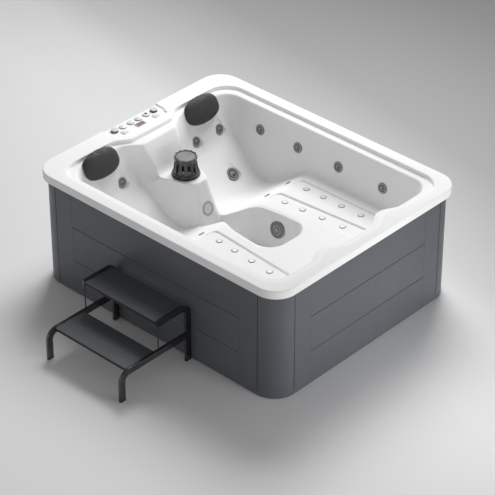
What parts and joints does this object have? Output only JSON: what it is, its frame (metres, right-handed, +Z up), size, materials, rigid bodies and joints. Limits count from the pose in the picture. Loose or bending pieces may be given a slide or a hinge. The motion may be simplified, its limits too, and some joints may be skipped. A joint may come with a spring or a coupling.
{
  "type": "hot tub with steps",
  "caption": "Rectangular hot tub with two reclining seats, a footwell, a raised filter console, turning jets, rim controls, clad cabinet and free-standing steps.",
  "frame": {"origin": "centre of the tub's base on the floor", "axes": "+X from the control end to the foot end, +Y across to the side away from the steps, +Z up"},
  "size_m": [2.1, 2.3165, 0.8285],
  "materials": {
    "shell": "glossy moulded acrylic, white",
    "pan": "black moulded plastic",
    "frame": "galvanised square tube",
    "cladding": "satin slate grey cabinet panel",
    "screws": "stainless screw",
    "control_grey": "dark grey display housing",
    "screen": "dark window with red digits behind it",
    "white_plastic": "white moulded plastic",
    "knob_grey": "light grey knob",
    "filter_black": "black moulded plastic",
    "filter_grey": "grey lid",
    "filter_paper": "pleated filter fabric",
    "pillow": "charcoal foam headrest skin",
    "jet_grey": "grey jet face",
    "pipe_white": "white pressure pipe and fittings",
    "slot_dark": "dark drain slot",
    "light_ring": "bright ring round the light",
    "lens": "clear lens",
    "pump_blue": "painted motor body",
    "box_grey": "grey equipment housing",
    "valve_metal": "metal drain valve",
    "step_black": "black powder-coated tube",
    "step_tread": "slate grey tread board",
    "foot_rubber": "rubber foot"
  },
  "bodies": {
    "tub": {"shell": "shell", "base_pan": "pan", "frame": "frame", "corner_covers": "cladding", "panel_near": "cladding", "panel_far": "cladding", "panel_foot": "cladding", "display_panel": "control_grey", "display_screen": "screen", "valve_bodies": "white_plastic", "button_bodies": "white_plastic", "filter_housing": "filter_black", "jet_bodies": "pipe_white", "air_injectors": "white_plastic", "drain_slots": "slot_dark", "suction_bodies": "pipe_white", "suction_covers": "jet_grey", "light_body": "light_ring", "light_lens": "lens", "jet_pump": "pump_blue", "blower": "box_grey", "control_box": "box_grey", "pipework": "pipe_white", "drain_valve": "valve_metal"},
    "filter": {"filter_basket": "filter_black", "filter_lid": "filter_grey", "filter_cartridge": "filter_paper"},
    "headrest_near": {"pillow_near": "pillow", "pillow_pins_near": "pipe_white"},
    "headrest_far": {"pillow_far": "pillow", "pillow_pins_far": "pipe_white"},
    "access_panel": {"panel_head": "cladding", "panel_screws": "screws"},
    "steps": {"steps_frame": "step_black", "steps_treads": "step_tread", "steps_feet": "foot_rubber"},
    "diverter_near": {"diverter_near": "knob_grey"},
    "diverter_far": {"diverter_far": "knob_grey"},
    "air_knob_1": {"air_knob_1": "knob_grey"},
    "air_knob_2": {"air_knob_2": "knob_grey"},
    "air_knob_3": {"air_knob_3": "knob_grey"},
    "air_knob_4": {"air_knob_4": "knob_grey"},
    "button_near": {"button_near": "white_plastic"},
    "button_far": {"button_far": "white_plastic"},
    "jet_near_1": {"jet_near_1": "jet_grey"},
    "jet_near_2": {"jet_near_2": "jet_grey"},
    "jet_near_3": {"jet_near_3": "jet_grey"},
    "jet_near_4": {"jet_near_4": "jet_grey"},
    "jet_far_1": {"jet_far_1": "jet_grey"},
    "jet_far_2": {"jet_far_2": "jet_grey"},
    "jet_far_3": {"jet_far_3": "jet_grey"},
    "jet_far_4": {"jet_far_4": "jet_grey"},
    "jet_back_1": {"jet_back_1": "jet_grey"},
    "jet_back_2": {"jet_back_2": "jet_grey"},
    "jet_back_3": {"jet_back_3": "jet_grey"},
    "jet_back_4": {"jet_back_4": "jet_grey"},
    "jet_low_near": {"jet_low_near": "jet_grey"},
    "jet_low_far": {"jet_low_far": "jet_grey"}
  },
  "joints": [
    {"name": "jet_near_1_turn", "type": "hinge", "parent": "tub", "child": "jet_near_1", "pos_m": [-0.514, -0.69129, 0.635], "axis": [0, 0.9816, 0.1908], "range_deg": [0, 120]},
    {"name": "jet_far_1_turn", "type": "hinge", "parent": "tub", "child": "jet_far_1", "pos_m": [-0.514, 0.69129, 0.635], "axis": [0, -0.9816, 0.1908], "range_deg": [0, 120]},
    {"name": "jet_near_2_turn", "type": "hinge", "parent": "tub", "child": "jet_near_2", "pos_m": [-0.179, -0.69129, 0.635], "axis": [0, 0.9816, 0.1908], "range_deg": [0, 120]},
    {"name": "jet_far_2_turn", "type": "hinge", "parent": "tub", "child": "jet_far_2", "pos_m": [-0.179, 0.69129, 0.635], "axis": [0, -0.9816, 0.1908], "range_deg": [0, 120]},
    {"name": "jet_near_3_turn", "type": "hinge", "parent": "tub", "child": "jet_near_3", "pos_m": [0.174, -0.69129, 0.635], "axis": [0, 0.9816, 0.1908], "range_deg": [0, 120]},
    {"name": "jet_far_3_turn", "type": "hinge", "parent": "tub", "child": "jet_far_3", "pos_m": [0.174, 0.69129, 0.635], "axis": [0, -0.9816, 0.1908], "range_deg": [0, 120]},
    {"name": "jet_near_4_turn", "type": "hinge", "parent": "tub", "child": "jet_near_4", "pos_m": [0.549, -0.69129, 0.635], "axis": [0, 0.9816, 0.1908], "range_deg": [0, 120]},
    {"name": "jet_far_4_turn", "type": "hinge", "parent": "tub", "child": "jet_far_4", "pos_m": [0.549, 0.69129, 0.635], "axis": [0, -0.9816, 0.1908], "range_deg": [0, 120]},
    {"name": "jet_back_1_turn", "type": "hinge", "parent": "tub", "child": "jet_back_1", "pos_m": [-0.765, -0.345, 0.594], "axis": [0.8996, 0, 0.4368], "range_deg": [0, 120]},
    {"name": "jet_back_2_turn", "type": "hinge", "parent": "tub", "child": "jet_back_2", "pos_m": [-0.765, -0.567, 0.594], "axis": [0.8996, 0, 0.4368], "range_deg": [0, 120]},
    {"name": "jet_back_3_turn", "type": "hinge", "parent": "tub", "child": "jet_back_3", "pos_m": [-0.765, 0.345, 0.594], "axis": [0.8996, 0, 0.4368], "range_deg": [0, 120]},
    {"name": "jet_back_4_turn", "type": "hinge", "parent": "tub", "child": "jet_back_4", "pos_m": [-0.765, 0.567, 0.594], "axis": [0.8996, 0, 0.4368], "range_deg": [0, 120]},
    {"name": "jet_low_near_turn", "type": "hinge", "parent": "tub", "child": "jet_low_near", "pos_m": [-0.544, -0.46, 0.38705], "axis": [0.6307, 0, 0.776], "range_deg": [0, 120]},
    {"name": "jet_low_far_turn", "type": "hinge", "parent": "tub", "child": "jet_low_far", "pos_m": [-0.544, 0.46, 0.38705], "axis": [0.6307, 0, 0.776], "range_deg": [0, 120]},
    {"name": "diverter_near_turn", "type": "hinge", "parent": "tub", "child": "diverter_near", "pos_m": [-1.001, -0.18, 0.82], "axis": [0, 0, 1], "range_deg": [0, 180]},
    {"name": "diverter_far_turn", "type": "hinge", "parent": "tub", "child": "diverter_far", "pos_m": [-1.001, 0.18, 0.82], "axis": [0, 0, 1], "range_deg": [0, 180]},
    {"name": "air_knob_1_turn", "type": "hinge", "parent": "tub", "child": "air_knob_1", "pos_m": [-1.001, -0.107, 0.82], "axis": [0, 0, 1], "range_deg": [0, 120]},
    {"name": "air_knob_2_turn", "type": "hinge", "parent": "tub", "child": "air_knob_2", "pos_m": [-1.001, -0.034, 0.82], "axis": [0, 0, 1], "range_deg": [0, 120]},
    {"name": "air_knob_3_turn", "type": "hinge", "parent": "tub", "child": "air_knob_3", "pos_m": [-1.001, 0.034, 0.82], "axis": [0, 0, 1], "range_deg": [0, 120]},
    {"name": "air_knob_4_turn", "type": "hinge", "parent": "tub", "child": "air_knob_4", "pos_m": [-1.001, 0.107, 0.82], "axis": [0, 0, 1], "range_deg": [0, 120]},
    {"name": "button_near_press", "type": "slide", "parent": "tub", "child": "button_near", "axis": [0, 0, -1], "range_m": [0, 0.003], "stiffness_N_per_m": 600, "springref_m": -0.002},
    {"name": "button_far_press", "type": "slide", "parent": "tub", "child": "button_far", "axis": [0, 0, -1], "range_m": [0, 0.003], "stiffness_N_per_m": 600, "springref_m": -0.002},
    {"name": "filter_lift", "type": "slide", "parent": "tub", "child": "filter", "axis": [0, 0, 1], "range_m": [0, 0.35]},
    {"name": "headrest_near_pull", "type": "slide", "parent": "tub", "child": "headrest_near", "axis": [0.8996, 0, 0.4368], "range_m": [0, 0.12]},
    {"name": "headrest_far_pull", "type": "slide", "parent": "tub", "child": "headrest_far", "axis": [0.8996, 0, 0.4368], "range_m": [0, 0.12]},
    {"name": "access_panel_pull", "type": "slide", "parent": "tub", "child": "access_panel", "axis": [-1, 0, 0], "range_m": [0, 0.4]},
    {"name": "steps_move", "type": "slide", "parent": "tub", "child": "steps", "axis": [0, -1, 0], "range_m": [0, 0.4]}
  ]
}
